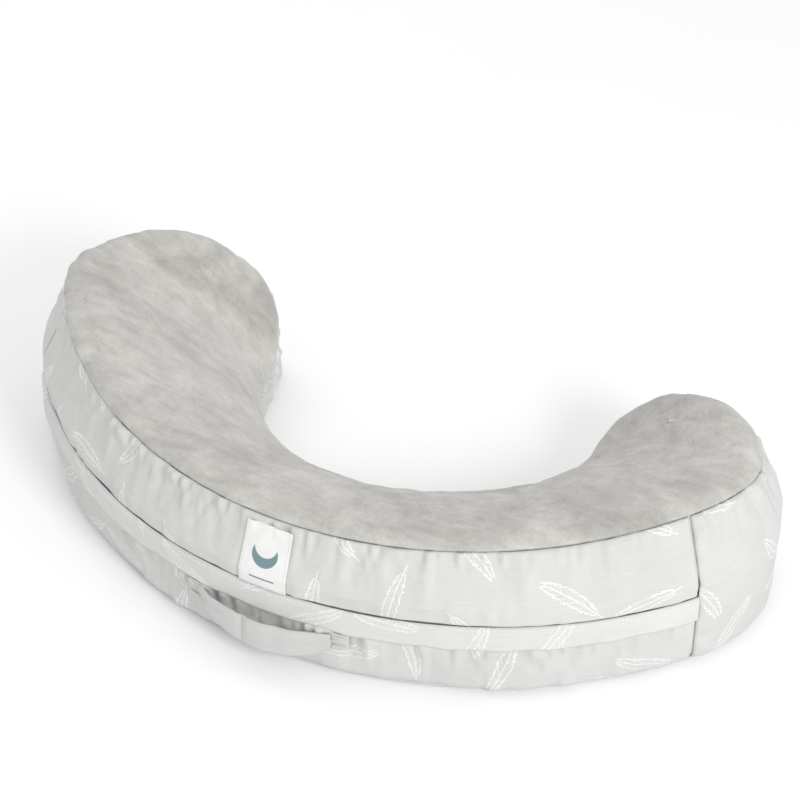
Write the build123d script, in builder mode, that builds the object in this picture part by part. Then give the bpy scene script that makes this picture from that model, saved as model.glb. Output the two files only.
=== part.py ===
"""Crescent nursing pillow: a firm foam core in a liner, inside a sewn cover that zips off.

The cover is a plush top panel, a printed wall in three panels, and a plain bottom panel.
The zipper runs low round the outside of the crescent, under a folded flap, so its slider
travels on an arc. The outer wall, the flap and the zipper share that arc's centre.

Millimetres. +X runs from wing to wing, +Y towards the open side, +Z up. The origin is the
middle of the bounding box, at the floor.
"""

import os
from math import acos, atan2, cos, degrees, hypot, radians, sin, sqrt, tan

from build123d import *

# ---- crescent in plan -------------------------------------------------------------------
OUTER_R = 363.0  # outer wall, upright part
WING_R = 103.0  # outer corner of each wing
WING_ANGLE = 53.5  # where the outer wall turns into it, from the front
END_WIDTH = 10.0  # flat stretch across each wing's end
CORNER_R = 55.0  # inner corner of each wing
INNER_R = 143.0  # inner wall, in front of the person's waist
FRONT_DEPTH = 134.0  # outer wall to inner wall, at the front

# ---- wall, from the floor up ------------------------------------------------------------
FOOT_ROUND = 13.0  # rounding where the wall meets the bottom
WALL_Z = 82.0  # the wall is upright up to here
DRAFT = 25.0  # and leans inwards above, in degrees
CUT_Z = 160.0  # above everything

# ---- top surface ------------------------------------------------------------------------
FRONT_Z = 126.0  # outer top edge at the front, before rounding
WING_RISE = 14.0  # how much higher it is at the wings
RISE_HALF_WIDTH = 300.0  # and how far out that height is reached
TIP_RISE, TIP_REACH = 45.0, 90.0  # the surface turns up over this length at the wings' ends
TOP_SLOPE_FRONT, TOP_SLOPE_WING = 0.42, 0.24  # fall towards the person
CROWN = 11.0  # dome of the top, over its slope
CROWN_FRONT, CROWN_WING = 95.0, 160.0  # width that the dome spans
TOP_ROUND = 9.0  # rounded rim
TOP_EDGE_R = OUTER_R - 20.0  # radius of the outer top edge
SLOPE_MIN_R = 180.0  # the slope ends here
SURFACE_STATIONS, SURFACE_POINTS = 8, 15  # profiles of a surface, and points on each
SEAM_DROP = 6.0  # the top panel's seam runs this far under the outer edge
SEAM_SLOPE_FRONT, SEAM_SLOPE_WING = 0.6, 0.5  # and falls towards the inner wall

# ---- fabric and liner -------------------------------------------------------------------
COVER_THICK = 2.4
BOTTOM_THICK = 1.6
BOTTOM_SEAM_Z = 4.0
LINER_THICK = 1.0
GAP = 0.25  # between pieces that touch

# ---- flap and zipper --------------------------------------------------------------------
SEAM_ANGLE = 51.5  # vertical seams where the wing panel starts
FLAP_LOW_Z, FLAP_HIGH_Z, FLAP_THICK = 48.0, 69.5, 1.6
FLAP_STANDOFF = 1.2  # in front of the wall
FLAP_LAP = 1.5  # the flap reaches this far below the opening
ZIP_Z = 59.0
ZIP_INSET = 7.0  # tape plane behind the wall's face
STOP_ANGLE = 48.0  # end stops
TAPE_THICK, TAPE_WIDTH, TAPE_START = 0.7, 11.5, 1.6
TURN_IN = 1.6  # thickness of the seam allowances that hold the tapes
COIL_WIDTH, COIL_THICK, COIL_START = 1.7, 1.5, 0.5
STOP_LENGTH, STOP_WIDTH, STOP_THICK = 4.0, 5.2, 1.9
SLIDER_LENGTH, SLIDER_WIDTH, PLATE_THICK = 14.0, 9.2, 1.1
WEB_LENGTH, WEB_THICK = 4.5, 0.5
ARCH_LENGTH, ARCH_WIDTH, ARCH_HEIGHT, ARCH_THICK = 6.8, 2.4, 2.8, 0.9
SLIDER_ANGLE = 46.5  # parked near the left stop, where the zipper is closed
PULL_LENGTH, PULL_WIDTH, PULL_THICK = 27.0, 7.0, 1.2
PULL_REST = 0.3  # the pull lies this far above the slider
PULL_HOLE = 5.6  # slot that the arch passes through
GROOVE_DEPTH, GROOVE_HEIGHT = ZIP_INSET + 4.2, 29.0  # room for the zipper in the core

# ---- carry handle -----------------------------------------------------------------------
HANDLE_HALF_SPAN = 52.0  # between its sewn ends
HANDLE_BOW = 13.0  # how far its inner face stands out at the middle
HANDLE_HIGH_Z, HANDLE_WIDTH, HANDLE_THICK = 47.0, 27.0, 2.5
HANDLE_END_WIDTH = 15.0  # gathered ends
TAB_LENGTH, TAB_THICK = 15.0, 3.0
BAR_LENGTH, BAR_WIDTH, BAR_THICK = 10.0, 1.6, 0.6

# ---- labels -----------------------------------------------------------------------------
LABEL_WIDTH, LABEL_THICK = 39.0, 0.6
LABEL_LOW_Z, LABEL_HIGH_Z = 70.5, 117.0
CARE_WIDTH, CARE_THICK = 26.0, 0.5
CARE_LOW_Z, CARE_HIGH_Z = 14.0, 46.0

# ---- worked out from the above ----------------------------------------------------------
WING_OFFSET = OUTER_R - WING_R
WING_X = WING_OFFSET * sin(radians(WING_ANGLE))
WING_BACK = WING_R - WING_OFFSET * cos(radians(WING_ANGLE))  # wing's end, from the arc's centre
HANDLE_FRONT = OUTER_R + HANDLE_BOW + HANDLE_THICK
ARC_Y = (HANDLE_FRONT - WING_BACK) / 2  # puts the bounding box's middle at Y = 0
FRONT_Y = ARC_Y - OUTER_R
WING_Y = ARC_Y + WING_BACK - WING_R
CORNER_X = WING_X - END_WIDTH
CORNER_Y = ARC_Y + WING_BACK - CORNER_R
INNER_Y = FRONT_Y + FRONT_DEPTH + INNER_R
CORNER_REACH = hypot(CORNER_X, CORNER_Y - INNER_Y)
FLARE = degrees(atan2(CORNER_Y - INNER_Y, CORNER_X) - acos((CORNER_R + INNER_R) / CORNER_REACH))
TAPE_R = OUTER_R - ZIP_INSET
TAPE_FACE = TAPE_R + TAPE_THICK / 2 + GAP
SEPARATE = Mode.PRIVATE


def crescent(inset, height):
    """The plan outline, moved inwards by inset, at a height: arcs and straights that touch."""
    with BuildSketch(Plane.XY.offset(height), mode=SEPARATE) as plan:
        with BuildLine():
            CenterArc((0, ARC_Y), OUTER_R - inset, -90 - WING_ANGLE, 2 * WING_ANGLE)
            wing = CenterArc((WING_X, WING_Y), WING_R - inset, WING_ANGLE - 90, 180 - WING_ANGLE)
            corner = CenterArc((CORNER_X, CORNER_Y), CORNER_R - inset, 90, 90 + FLARE)
            inner = CenterArc((0, INNER_Y), INNER_R + inset, -180 - FLARE, 180 + 2 * FLARE)
            end = Line(wing @ 1, corner @ 0)
            flank = Line(corner @ 1, inner @ 1)
            mirror([wing, end, corner, flank], about=Plane.YZ)
        make_face()
    return plan.sketch


def block(inset, bottom):
    """The solid inside the wall: a rounded foot, an upright part and a leaning part."""
    with BuildPart(mode=SEPARATE) as solid:
        extrude(crescent(inset, bottom), WALL_Z - bottom)
        fillet(solid.edges().group_by(Axis.Z)[0], FOOT_ROUND - inset)
        extrude(crescent(inset, WALL_Z), CUT_Z - WALL_Z, taper=DRAFT)
    return solid.part


def towards_wing(x):
    """How far out towards the wings a place is: 0 in the middle, 1 at the wings."""
    return min((x / RISE_HALF_WIDTH) ** 2, 1.0)


def edge_height(x, y):
    """Height of the outer top edge, which rises to the sides and to the wings' ends."""
    tip = max(y - (ARC_Y + WING_BACK - TIP_REACH), 0) / TIP_REACH
    return FRONT_Z + WING_RISE * towards_wing(x) + TIP_RISE * tip**2


def from_edge(x, y):
    """Distance inwards from the outer top edge."""
    return TOP_EDGE_R - max(hypot(x, y - ARC_Y), SLOPE_MIN_R)


def fall(x, y, front_slope, wing_slope):
    """How far a surface has fallen, from the outer edge towards the person."""
    return (front_slope + (wing_slope - front_slope) * towards_wing(x)) * from_edge(x, y)


def top_height(x, y):
    """The top surface falls towards the person and is domed."""
    span = CROWN_FRONT + (CROWN_WING - CROWN_FRONT) * towards_wing(1.25 * x)
    across = min(max(from_edge(x, y) / span, 0), 1.2)
    slope = fall(x, y, TOP_SLOPE_FRONT, TOP_SLOPE_WING)
    return edge_height(x, y) - slope + 4 * CROWN * across * (1 - across)


def seam_height(x, y):
    """The top panel's seam lies on this surface, high outside and low inside."""
    return edge_height(x, y) - SEAM_DROP - fall(x, y, SEAM_SLOPE_FRONT, SEAM_SLOPE_WING)


def under(height, drop):
    """Everything under a surface that height(x, y) gives, lowered by drop."""
    half = WING_X + WING_R + 20
    depth = OUTER_R + WING_BACK + 20
    with BuildPart(mode=SEPARATE) as solid:
        for station in range(SURFACE_STATIONS):
            y = FRONT_Y - 10 + depth * station / (SURFACE_STATIONS - 1)
            with BuildSketch(Plane.XZ.offset(-y)):
                with BuildLine():
                    across = [half * (2 * n / (SURFACE_POINTS - 1) - 1) for n in range(SURFACE_POINTS)]
                    top = Spline(*[(x, height(x, y) - drop) for x in across])
                    Polyline(top @ 0, (-half, -10), (half, -10), top @ 1)
                make_face()
        loft()
    return solid.part


def pillow(inset, bottom, drop):
    """The whole pillow's shape, inside the layers of these thicknesses."""
    with BuildPart(mode=SEPARATE) as solid:
        add(block(inset, bottom))
        add(under(top_height, drop), mode=Mode.INTERSECT)
        top = solid.faces().filter_by(GeomType.BSPLINE).sort_by(SortBy.AREA)[-1]
        fillet(top.edges(), TOP_ROUND - inset)
    return solid.part


def radial_plane(angle, centre_y=ARC_Y):
    """A plane through a vertical axis: its x runs outwards, its y runs up."""
    out = (sin(radians(angle)), -cos(radians(angle)), 0)
    return Plane(origin=(0, centre_y, 0), x_dir=out, z_dir=(out[1], -out[0], 0))


def ring(radii, heights, angles, centre_y=ARC_Y):
    """A stretch of ring about a vertical axis, between two angles from the front."""
    with BuildPart(mode=SEPARATE) as solid:
        with BuildSketch(radial_plane(angles[0], centre_y)):
            with Locations((sum(radii) / 2, sum(heights) / 2)):
                Rectangle(radii[1] - radii[0], heights[1] - heights[0])
        axis = Axis((0, centre_y, 0), (0, 0, 1))
        revolve(axis=axis, revolution_arc=angles[1] - angles[0])
    return solid.part


def spread(middle, width):
    """Both ends of a width about its middle."""
    return middle - width / 2, middle + width / 2


def arc_angle(length, radius=TAPE_R):
    """The angle that a length takes up on an arc."""
    return degrees(length / radius)


def zip_groove(depth, height):
    """The channel behind the wall that the zipper lies in."""
    side = SEAM_ANGLE + arc_angle(depth - ZIP_INSET)
    return ring((OUTER_R - depth, OUTER_R + 20), spread(ZIP_Z, height), (-side, side))


def stuffing(inset, bottom, drop, groove_extra):
    """The pillow's shape with the zipper's groove, for the core and its liner."""
    with BuildPart(mode=SEPARATE) as solid:
        add(pillow(inset, bottom, drop))
        depth, height = GROOVE_DEPTH + groove_extra, GROOVE_HEIGHT + 2 * groove_extra
        add(zip_groove(depth, height), mode=Mode.SUBTRACT)
    return solid.part


def front_zone(low, high, margin):
    """The outer wall's zone between the two vertical seams, from one height to another."""
    side = SEAM_ANGLE - arc_angle(margin)
    return ring((OUTER_R - 75, OUTER_R + 20), (low, high), (-side, side))


def slab(low, high):
    """Everything between two heights."""
    with BuildPart(Plane.XY.offset(low), mode=SEPARATE) as solid:
        Box(900, 900, high - low, align=(Align.CENTER, Align.CENTER, Align.MIN))
    return solid.part


def save(piece, name):
    piece.part.label = name
    export_step(piece.part, f"parts/{name}.step")


os.makedirs("parts", exist_ok=True)

# ---- foam core and its liner ------------------------------------------------------------
liner = COVER_THICK + GAP, BOTTOM_THICK + GAP, COVER_THICK + GAP
liner_inside = [depth + LINER_THICK for depth in liner]
core = [depth + GAP for depth in liner_inside]

with BuildPart() as foam_core:
    add(stuffing(*core, LINER_THICK + GAP))
save(foam_core, "foam_core")

with BuildPart() as core_liner:
    add(stuffing(*liner, 0))
    add(stuffing(*liner_inside, LINER_THICK), mode=Mode.SUBTRACT)
save(core_liner, "core_liner")

# ---- cover panels -----------------------------------------------------------------------
with BuildPart(mode=SEPARATE) as cover:
    add(pillow(0, 0, 0))
    add(pillow(COVER_THICK, BOTTOM_THICK, COVER_THICK), mode=Mode.SUBTRACT)

with BuildPart() as top_panel:
    add(cover.part)
    add(under(seam_height, -GAP), mode=Mode.SUBTRACT)
save(top_panel, "top_panel")

with BuildPart() as bottom_panel:
    add(cover.part)
    add(slab(-1, BOTTOM_SEAM_Z), mode=Mode.INTERSECT)
save(bottom_panel, "bottom_panel")

with BuildPart(mode=SEPARATE) as wall:
    add(cover.part)
    add(under(seam_height, 0), mode=Mode.INTERSECT)
    add(slab(-1, BOTTOM_SEAM_Z + GAP), mode=Mode.SUBTRACT)

with BuildPart() as wing_panel:
    add(wall.part)
    add(front_zone(-1, CUT_Z, 0), mode=Mode.SUBTRACT)
save(wing_panel, "wing_panel")

# The zipper's opening is left between the front panel and the lower band. Each turns in
# there, and holds a tape on its seam allowance.
front_ends = SEAM_ANGLE - arc_angle(GAP)
front_ends = -front_ends, front_ends
turn_in = TAPE_FACE, OUTER_R - COVER_THICK
opening = FLAP_LOW_Z + FLAP_LAP, FLAP_HIGH_Z + GAP

with BuildPart() as front_panel:
    add(wall.part)
    add(front_zone(opening[1], CUT_Z, GAP), mode=Mode.INTERSECT)
    add(ring(turn_in, (opening[1], opening[1] + TURN_IN), front_ends))
save(front_panel, "front_panel")

with BuildPart() as lower_band:
    add(wall.part)
    add(front_zone(-1, opening[0], GAP), mode=Mode.INTERSECT)
    add(ring(turn_in, (opening[0] - TURN_IN, opening[0]), front_ends))
save(lower_band, "lower_band")

with BuildPart() as zipper_flap:
    face = OUTER_R + FLAP_STANDOFF
    add(ring((face, face + FLAP_THICK), (FLAP_LOW_Z, FLAP_HIGH_Z), front_ends))
save(zipper_flap, "zipper_flap")

# ---- zipper -----------------------------------------------------------------------------
for name, way in (("upper", 1), ("lower", -1)):
    with BuildPart() as zipper_tape:
        heights = spread(ZIP_Z + way * (TAPE_START + TAPE_WIDTH / 2), TAPE_WIDTH)
        add(ring(spread(TAPE_R, TAPE_THICK), heights, front_ends))
    save(zipper_tape, f"zipper_tape_{name}")

    with BuildPart() as zipper_coil:
        heights = spread(ZIP_Z + way * (COIL_START + COIL_WIDTH / 2), COIL_WIDTH)
        add(ring((TAPE_FACE, TAPE_FACE + COIL_THICK), heights, (-STOP_ANGLE, STOP_ANGLE)))
    save(zipper_coil, f"zipper_coil_{name}")

with BuildPart() as zipper_end_stops:
    for way in (1, -1):
        angles = spread(way * (STOP_ANGLE + arc_angle(GAP + STOP_LENGTH / 2)), arc_angle(STOP_LENGTH))
        add(ring((TAPE_FACE, TAPE_FACE + STOP_THICK), spread(ZIP_Z, STOP_WIDTH), angles))
save(zipper_end_stops, "zipper_end_stops")

# The slider's web passes between the coils, and its two plates hold them together.
outer_plate = TAPE_FACE + COIL_THICK + GAP
outer_face = outer_plate + PLATE_THICK
inner_face = TAPE_R - TAPE_THICK / 2 - GAP
slider_heights = spread(ZIP_Z, SLIDER_WIDTH)
slider_ends = spread(-SLIDER_ANGLE, arc_angle(SLIDER_LENGTH))
with BuildPart() as zipper_slider:
    add(ring((outer_plate, outer_face), slider_heights, slider_ends))
    add(ring((inner_face - PLATE_THICK, inner_face), slider_heights, slider_ends))
    web_ends = slider_ends[0], slider_ends[0] + arc_angle(WEB_LENGTH)
    add(ring((inner_face, outer_plate), spread(ZIP_Z, WEB_THICK), web_ends))
    for way in (1, -1):
        flange = ZIP_Z + way * (SLIDER_WIDTH - PLATE_THICK) / 2
        add(ring((TAPE_FACE, outer_plate), spread(flange, PLATE_THICK), slider_ends))
    arch_radii = outer_face, outer_face + ARCH_HEIGHT
    arch_heights = spread(ZIP_Z, ARCH_WIDTH)
    for way in (1, -1):
        foot = -SLIDER_ANGLE + way * arc_angle((ARCH_LENGTH - ARCH_THICK) / 2)
        add(ring(arch_radii, arch_heights, spread(foot, arc_angle(ARCH_THICK))))
    roof_radii = arch_radii[1] - ARCH_THICK, arch_radii[1]
    add(ring(roof_radii, arch_heights, spread(-SLIDER_ANGLE, arc_angle(ARCH_LENGTH))))
save(zipper_slider, "zipper_slider")

# The pull hooks through the arch and lies along the zipper. Its pin is its short end.
pull_plane = radial_plane(-SLIDER_ANGLE)
pull_face = pull_plane.from_local_coords((outer_face + PULL_REST, ZIP_Z, 0))
pin = PULL_THICK / 2  # as wide as the pull is thick
with BuildPart() as zipper_pull:
    with BuildSketch(Plane(origin=pull_face, x_dir=-pull_plane.z_dir, z_dir=pull_plane.x_dir)):
        with Locations((PULL_LENGTH / 2 - pin, 0)):
            RectangleRounded(PULL_LENGTH, PULL_WIDTH, 2.2)
        with Locations((PULL_LENGTH - 7, 0)):
            RectangleRounded(5, 3, 1.4, mode=Mode.SUBTRACT)
        with Locations((pin + PULL_HOLE / 2, 0)):
            RectangleRounded(PULL_HOLE, 4.0, 1.0, mode=Mode.SUBTRACT)
    extrude(amount=PULL_THICK)
save(zipper_pull, "zipper_pull")

# ---- carry handle -----------------------------------------------------------------------
# A bowed strap, its ends gathered towards its top edge, which is also its hinge line.
strap_end_y = ARC_Y - sqrt(OUTER_R**2 - HANDLE_HALF_SPAN**2) - TAB_THICK - 2 * GAP
strap_low_z = HANDLE_HIGH_Z - HANDLE_WIDTH
strap_end_z = HANDLE_HIGH_Z - HANDLE_END_WIDTH
with BuildPart() as carry_handle:
    with BuildSketch(Plane.XY.offset(strap_low_z)):
        with BuildLine():
            inside_ends = [(way * HANDLE_HALF_SPAN, strap_end_y) for way in (-1, 1)]
            outside_ends = [(x, y - HANDLE_THICK) for x, y in inside_ends]
            ThreePointArc(inside_ends[0], (0, FRONT_Y - HANDLE_BOW), inside_ends[1])
            ThreePointArc(outside_ends[0], (0, ARC_Y - HANDLE_FRONT), outside_ends[1])
            Line(inside_ends[0], outside_ends[0])
            Line(inside_ends[1], outside_ends[1])
        make_face()
    extrude(amount=HANDLE_WIDTH)
    with BuildSketch(Plane.XZ.offset(-FRONT_Y - 40)):
        with BuildLine():
            half = HANDLE_HALF_SPAN + 1
            low_edge = Spline((-half, strap_end_z), (0, strap_low_z), (half, strap_end_z))
            Polyline(low_edge @ 0, (-half, HANDLE_HIGH_Z), (half, HANDLE_HIGH_Z), low_edge @ 1)
        make_face()
    extrude(amount=80, mode=Mode.INTERSECT)
save(carry_handle, "carry_handle")

tab_radii = OUTER_R + GAP, OUTER_R + GAP + TAB_THICK
tab_middle = arc_angle(HANDLE_HALF_SPAN + 1 + TAB_LENGTH / 2, OUTER_R)
with BuildPart() as handle_tabs:
    for way in (1, -1):
        tab_ends = spread(way * tab_middle, arc_angle(TAB_LENGTH, OUTER_R))
        add(ring(tab_radii, (strap_end_z, HANDLE_HIGH_Z), tab_ends))
save(handle_tabs, "handle_tabs")

with BuildPart() as handle_bartacks:
    bar_face = tab_radii[1] + GAP
    for way in (1, -1):
        for height in (strap_end_z + 3, HANDLE_HIGH_Z - 3):
            bar_ends = spread(way * tab_middle, arc_angle(BAR_LENGTH, OUTER_R))
            add(ring((bar_face, bar_face + BAR_THICK), spread(height, BAR_WIDTH), bar_ends))
save(handle_bartacks, "handle_bartacks")

# ---- labels -----------------------------------------------------------------------------
with BuildPart() as front_label:
    label_ends = spread(0, arc_angle(LABEL_WIDTH, OUTER_R))
    with BuildSketch(radial_plane(label_ends[0])):
        with BuildLine():
            near = OUTER_R + GAP
            leant = near - (LABEL_HIGH_Z - WALL_Z) * tan(radians(DRAFT))
            inside = [(near, LABEL_LOW_Z), (near, WALL_Z), (leant, LABEL_HIGH_Z)]
            outside = [(radius + LABEL_THICK, z) for radius, z in reversed(inside)]
            Polyline(*inside, *outside, close=True)
        make_face()
    revolve(axis=Axis((0, ARC_Y, 0), (0, 0, 1)), revolution_arc=label_ends[1] - label_ends[0])
save(front_label, "front_label")

with BuildPart() as care_label:
    care_radii = INNER_R - GAP - CARE_THICK, INNER_R - GAP
    care_ends = spread(0, arc_angle(CARE_WIDTH, INNER_R))
    add(ring(care_radii, (CARE_LOW_Z, CARE_HIGH_Z), care_ends, INNER_Y))
save(care_label, "care_label")
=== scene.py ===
import math

import bpy
import numpy as np
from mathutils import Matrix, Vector


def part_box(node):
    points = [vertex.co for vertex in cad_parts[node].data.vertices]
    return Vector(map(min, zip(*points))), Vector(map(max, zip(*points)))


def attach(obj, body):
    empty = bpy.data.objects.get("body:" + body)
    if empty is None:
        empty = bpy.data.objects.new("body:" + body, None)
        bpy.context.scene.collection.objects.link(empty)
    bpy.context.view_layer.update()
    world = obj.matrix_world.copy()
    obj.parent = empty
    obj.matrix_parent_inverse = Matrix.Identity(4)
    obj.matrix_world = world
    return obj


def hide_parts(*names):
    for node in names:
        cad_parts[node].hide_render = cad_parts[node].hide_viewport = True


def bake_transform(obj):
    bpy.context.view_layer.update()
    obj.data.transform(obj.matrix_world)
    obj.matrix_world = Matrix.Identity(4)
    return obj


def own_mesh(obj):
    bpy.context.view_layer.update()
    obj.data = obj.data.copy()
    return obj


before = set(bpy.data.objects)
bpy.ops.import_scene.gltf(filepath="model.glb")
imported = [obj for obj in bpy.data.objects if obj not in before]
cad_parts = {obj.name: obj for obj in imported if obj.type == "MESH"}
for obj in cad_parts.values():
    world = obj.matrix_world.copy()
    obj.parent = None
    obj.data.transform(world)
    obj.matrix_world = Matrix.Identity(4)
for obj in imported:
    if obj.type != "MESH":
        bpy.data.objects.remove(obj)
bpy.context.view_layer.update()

# ---- the crescent's dimensions, in metres -------------------------------------------------
OUTER_R, WING_R, CORNER_R, INNER_R = 0.363, 0.103, 0.055, 0.143
WING_ANGLE = math.radians(53.5)
END_WIDTH, FRONT_DEPTH = 0.010, 0.134
FOOT_ROUND, WALL_Z, LEAN = 0.013, 0.082, math.tan(math.radians(25))
FLAP_OUT = 0.0028
ARC_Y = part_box("zipper_flap")[0].y + OUTER_R + FLAP_OUT
WING_X = (OUTER_R - WING_R) * math.sin(WING_ANGLE)
WING_Y = ARC_Y - (OUTER_R - WING_R) * math.cos(WING_ANGLE)
TIP_Y = WING_Y + WING_R
CORNER_X, CORNER_Y = WING_X - END_WIDTH, TIP_Y - CORNER_R
INNER_Y = ARC_Y - OUTER_R + FRONT_DEPTH + INNER_R
REACH = math.hypot(CORNER_X, CORNER_Y - INNER_Y)
FLARE = math.atan2(CORNER_Y - INNER_Y, CORNER_X) - math.acos((CORNER_R + INNER_R) / REACH)
SEAM_ANGLE = math.radians(51.5)
OPEN_LOW, OPEN_HIGH = 0.0495, 0.0696
COVER_THICK = 0.0022
CHAIN = 600  # steps along the outer side, and as many along the inner side
CORE_INSET = 0.046  # rings follow the outline up to here, straight rungs fill the rest
RUNGS = 26


def smooth(x):
    x = np.clip(x, 0, 1)
    return x * x * (3 - 2 * x)


def noise(points, size, seed=0):
    """Smooth random bumps of about this size, from -1 to 1."""
    q = np.asarray(points, float) / size + 11.7 * seed
    cell = np.floor(q)
    f = q - cell
    f = f * f * (3 - 2 * f)
    total = 0
    for corner in range(8):
        step = np.array([corner & 1, corner >> 1 & 1, corner >> 2 & 1])
        weight = np.prod(np.where(step, f, 1 - f), axis=-1)
        value = np.sin((cell + step) @ np.array([12.9898, 78.233, 37.719]) + seed) * 43758.5453
        total = total + weight * (value - np.floor(value))
    return 2 * total - 1


# ---- outline: points and inward directions, round the crescent ----------------------------
def arc(cx, cy, radius, start, end, concave=False):
    """An arc of the outline, as a function of a share of its length."""
    def at(t):
        a = start + (end - start) * t
        way = np.stack([np.cos(a), np.sin(a)], -1)
        point = np.array([cx, cy]) + radius * way
        return point, way if concave else -way
    inner = radius + 0.025 if concave else radius - 0.025
    return at, abs(end - start) * inner, abs(end - start) * radius


def straight(a, b, way):
    def at(t):
        point = np.array(a) + (np.array(b) - np.array(a)) * t[:, None]
        return point, np.broadcast_to(np.array(way, float), point.shape)
    length = math.dist(a, b)
    return at, length, length


def chain(parts):
    """Evenly spaced points along some parts: position, inward direction, length so far."""
    share = np.cumsum([0] + [p[1] for p in parts])
    real = np.cumsum([0] + [p[2] for p in parts])
    where = np.linspace(0, share[-1], CHAIN + 1)
    point, way, run = (np.zeros((CHAIN + 1, n)) for n in (2, 2, 1))
    for k, part in enumerate(parts):
        last = k == len(parts) - 1
        here = (where >= share[k]) & ((where < share[k + 1]) | last)
        t = (where[here] - share[k]) / part[1]
        point[here], way[here] = part[0](t)
        run[here, 0] = real[k] + t * part[2]
    return point, way, run[:, 0]


half_pi = math.pi / 2
end_x = WING_X - END_WIDTH / 2
flank_way = np.array([math.cos(FLARE), math.sin(FLARE)])
near_corner = np.array([CORNER_X, CORNER_Y]) - CORNER_R * flank_way
near_inner = np.array([0, INNER_Y]) + INNER_R * flank_way
mirrored = np.array([-1, 1])
outer_parts = [
    straight((-end_x, TIP_Y), (-WING_X, TIP_Y), (0, -1)),
    arc(-WING_X, WING_Y, WING_R, half_pi, 3 * half_pi - WING_ANGLE),
    arc(0, ARC_Y, OUTER_R, -half_pi - WING_ANGLE, -half_pi + WING_ANGLE),
    arc(WING_X, WING_Y, WING_R, WING_ANGLE - half_pi, half_pi),
    straight((WING_X, TIP_Y), (end_x, TIP_Y), (0, -1)),
]
inner_parts = [
    straight((-end_x, TIP_Y), (-CORNER_X, TIP_Y), (0, -1)),
    arc(-CORNER_X, CORNER_Y, CORNER_R, half_pi, -FLARE),
    straight(near_corner * mirrored, near_inner * mirrored, flank_way * mirrored),
    arc(0, INNER_Y, INNER_R, math.pi - FLARE, 2 * math.pi + FLARE, concave=True),
    straight(near_inner, near_corner, flank_way),
    arc(CORNER_X, CORNER_Y, CORNER_R, math.pi + FLARE, half_pi),
    straight((CORNER_X, TIP_Y), (end_x, TIP_Y), (0, -1)),
]
outer, inner = chain(outer_parts), chain(inner_parts)
BASE = np.concatenate([outer[0], inner[0][-2:0:-1]])
INWARD = np.concatenate([outer[1], inner[1][-2:0:-1]])
RUN = np.concatenate([outer[2], outer[2][-1] + inner[2][-1] - inner[2][-2:0:-1]])
COLUMNS = len(BASE)
ANGLE = np.arctan2(BASE[:, 0], ARC_Y - BASE[:, 1])  # from the front, about the arc's centre
IS_OUTER = np.arange(COLUMNS) <= CHAIN

# ---- heights ------------------------------------------------------------------------------
def towards_wing(x):
    return np.minimum((x / 0.300) ** 2, 1.0)


def edge_height(x, y):
    tip = np.maximum(y - (TIP_Y - 0.090), 0) / 0.090
    return 0.126 + 0.014 * towards_wing(x) + 0.045 * tip**2


def from_edge(x, y):
    return OUTER_R - 0.020 - np.maximum(np.hypot(x, y - ARC_Y), 0.180)


def top_height(x, y):
    span = 0.095 + 0.065 * towards_wing(1.25 * x)
    across = np.clip(from_edge(x, y) / span, 0, 1.2)
    slope = (0.42 - 0.18 * towards_wing(x)) * from_edge(x, y)
    return edge_height(x, y) - slope + 0.044 * across * (1 - across)


def seam_height(x, y):
    return edge_height(x, y) - 0.006 - (0.6 - 0.1 * towards_wing(x)) * from_edge(x, y)


def wall_inset(z):
    """How far the wall is inside the outline at a height."""
    foot = np.clip(FOOT_ROUND - z, 0, FOOT_ROUND)
    return FOOT_ROUND - np.sqrt(FOOT_ROUND**2 - foot**2) + np.maximum(z - WALL_Z, 0) * LEAN


def at_inset(inset):
    plan = BASE + INWARD * np.broadcast_to(inset, COLUMNS)[:, None]
    return plan[:, 0], plan[:, 1]


def meet(surface):
    """The height at which the wall meets a surface, per column."""
    z = np.full(COLUMNS, 0.100)
    for _ in range(25):
        z = 0.5 * z + 0.5 * surface(*at_inset(wall_inset(z)))
    return z


SEAM_Z, EDGE_Z = meet(seam_height), meet(top_height)


def wall_row(z):
    z = np.broadcast_to(z, COLUMNS)
    x, y = at_inset(wall_inset(z))
    return np.stack([x, y, z], -1)


# ---- meshes -------------------------------------------------------------------------------
def grid_faces(rows, columns, wrap=False, first=0):
    r, c = np.meshgrid(np.arange(rows - 1), np.arange(columns if wrap else columns - 1), indexing="ij")
    right = (c + 1) % columns
    quads = [r * columns + c, r * columns + right, (r + 1) * columns + right, (r + 1) * columns + c]
    return np.stack(quads, -1).reshape(-1, 4) + first


def normals(points, faces):
    a, b, c, d = (points[faces[:, k]] for k in range(4))
    face_way = np.cross(c - a, d - b)
    total = np.zeros_like(points)
    for k in range(4):
        np.add.at(total, faces[:, k], face_way)
    return total / np.maximum(np.linalg.norm(total, axis=1), 1e-12)[:, None]


def make_object(name, points, faces, uv=None):
    mesh = bpy.data.meshes.new(name)
    mesh.from_pydata(points.tolist(), [], faces.tolist() if hasattr(faces, "tolist") else faces)
    mesh.validate()
    mesh.shade_smooth()
    if uv is not None:
        layer = mesh.uv_layers.new(name="cloth")
        index = np.zeros(len(mesh.loops), np.int32)
        mesh.loops.foreach_get("vertex_index", index)
        layer.data.foreach_set("uv", uv[index].astype(np.float32).ravel())
    made = bpy.data.objects.new(name, mesh)
    bpy.context.scene.collection.objects.link(made)
    return made


def border_edges(faces):
    """Directed edges that only one face has."""
    edges = np.concatenate([np.stack([faces[:, k], faces[:, (k + 1) % 4]], -1) for k in range(4)])
    key = np.sort(edges, axis=1)
    code = key[:, 0].astype(np.int64) * (faces.max() + 1) + key[:, 1]
    place, count = np.unique(code, return_inverse=True, return_counts=True)[1:]
    return edges[count[place] == 1]


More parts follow.
